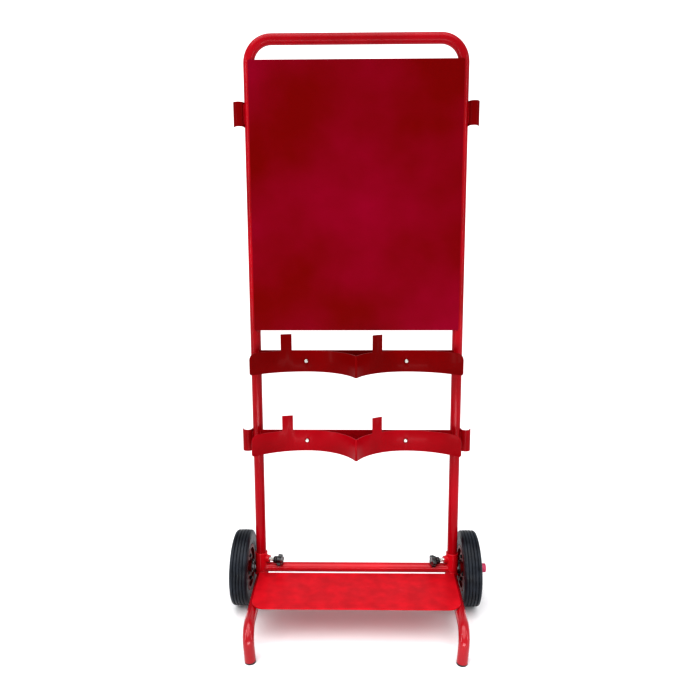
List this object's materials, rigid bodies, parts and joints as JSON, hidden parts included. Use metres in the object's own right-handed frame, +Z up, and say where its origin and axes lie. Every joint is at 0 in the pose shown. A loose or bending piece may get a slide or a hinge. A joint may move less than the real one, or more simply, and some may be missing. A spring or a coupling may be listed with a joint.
{
  "type": "double fire extinguisher trolley",
  "caption": "Two-wheeled red tubular trolley with a backboard, two curved cradles and a footplate to carry portable fire extinguishers.",
  "frame": {"origin": "on the floor, midway between the uprights and about midway between the feet and the backs of the tyres", "axes": "+Z up, the front faces -Y, +X to the right as seen from the front"},
  "size_m": [0.707, 0.3795, 1.4935],
  "materials": {
    "red_paint": "gloss powder coat",
    "rim_paint": "gloss paint",
    "cap_paint": "gloss paint",
    "zinc_plate": "bright zinc",
    "axle_steel": "drawn steel",
    "tyre_rubber": "matte",
    "knob_plastic": "satin",
    "plug_plastic": "matte",
    "bush_nylon": "matte"
  },
  "bodies": {
    "base": {"axle": "axle_steel", "axle_cap_left": "cap_paint", "axle_cap_right": "cap_paint", "axle_tube": "red_paint", "axle_washers": "zinc_plate", "clamp_nut_left": "red_paint", "clamp_nut_right": "red_paint", "foot_plug_left": "plug_plastic", "foot_plug_right": "plug_plastic", "footplate": "red_paint", "leg_plug_left": "plug_plastic", "leg_plug_right": "plug_plastic", "leg_tube_left": "red_paint", "leg_tube_right": "red_paint", "sleeve_left": "red_paint", "sleeve_right": "red_paint"},
    "upper_frame": {"frame_tube": "red_paint", "backboard": "red_paint", "crossbar_upper": "red_paint", "crossbar_lower": "red_paint", "cradle_upper": "red_paint", "cradle_lower": "red_paint", "cradle_screws_upper": "zinc_plate", "cradle_screws_lower": "zinc_plate", "cradle_nuts_upper": "zinc_plate", "cradle_nuts_lower": "zinc_plate", "side_hook_upper_left": "red_paint", "side_hook_upper_right": "red_paint", "side_hook_lower_left": "red_paint", "side_hook_lower_right": "red_paint"},
    "wheel_left": {"tyre_left": "tyre_rubber", "rim_inner_left": "rim_paint", "rim_outer_left": "rim_paint", "hub_left": "rim_paint", "bushes_left": "bush_nylon", "rim_bolts_left": "zinc_plate", "rim_nuts_left": "zinc_plate"},
    "clamp_screw_left": {"clamp_stud_left": "zinc_plate"},
    "clamp_knob_left": {"clamp_knob_left": "knob_plastic"},
    "wheel_right": {"tyre_right": "tyre_rubber", "rim_inner_right": "rim_paint", "rim_outer_right": "rim_paint", "hub_right": "rim_paint", "bushes_right": "bush_nylon", "rim_bolts_right": "zinc_plate", "rim_nuts_right": "zinc_plate"},
    "clamp_screw_right": {"clamp_stud_right": "zinc_plate"},
    "clamp_knob_right": {"clamp_knob_right": "knob_plastic"}
  },
  "joints": [
    {"name": "frame_lift", "type": "slide", "parent": "base", "child": "upper_frame", "axis": [0, 0, 1], "range_m": [0, 0.06]},
    {"name": "wheel_left_spin", "type": "hinge", "parent": "base", "child": "wheel_left", "pos_m": [-0.3135, 0.0887, 0.1], "axis": [1, 0, 0], "continuous": true},
    {"name": "clamp_left_travel", "type": "slide", "parent": "base", "child": "clamp_screw_left", "axis": [0.9613, -0.2756, 0], "range_m": [0, 0.006]},
    {"name": "clamp_left_turn", "type": "hinge", "parent": "clamp_screw_left", "child": "clamp_knob_left", "pos_m": [-0.21594, 0.07492, 0.127], "axis": [0.9613, -0.2756, 0], "range_deg": [0, 1441]},
    {"name": "wheel_right_spin", "type": "hinge", "parent": "base", "child": "wheel_right", "pos_m": [0.3085, 0.0887, 0.1], "axis": [1, 0, 0], "continuous": true},
    {"name": "clamp_right_travel", "type": "slide", "parent": "base", "child": "clamp_screw_right", "axis": [-0.9613, -0.2756, 0], "range_m": [0, 0.006]},
    {"name": "clamp_right_turn", "type": "hinge", "parent": "clamp_screw_right", "child": "clamp_knob_right", "pos_m": [0.21594, 0.07492, 0.127], "axis": [-0.9613, -0.2756, 0], "range_deg": [0, 1441]}
  ],
  "couplings": [
    {"joint": "clamp_left_turn", "follows": "clamp_left_travel", "rad_per_m": 4188.8},
    {"joint": "clamp_right_turn", "follows": "clamp_right_travel", "rad_per_m": 4188.8}
  ]
}
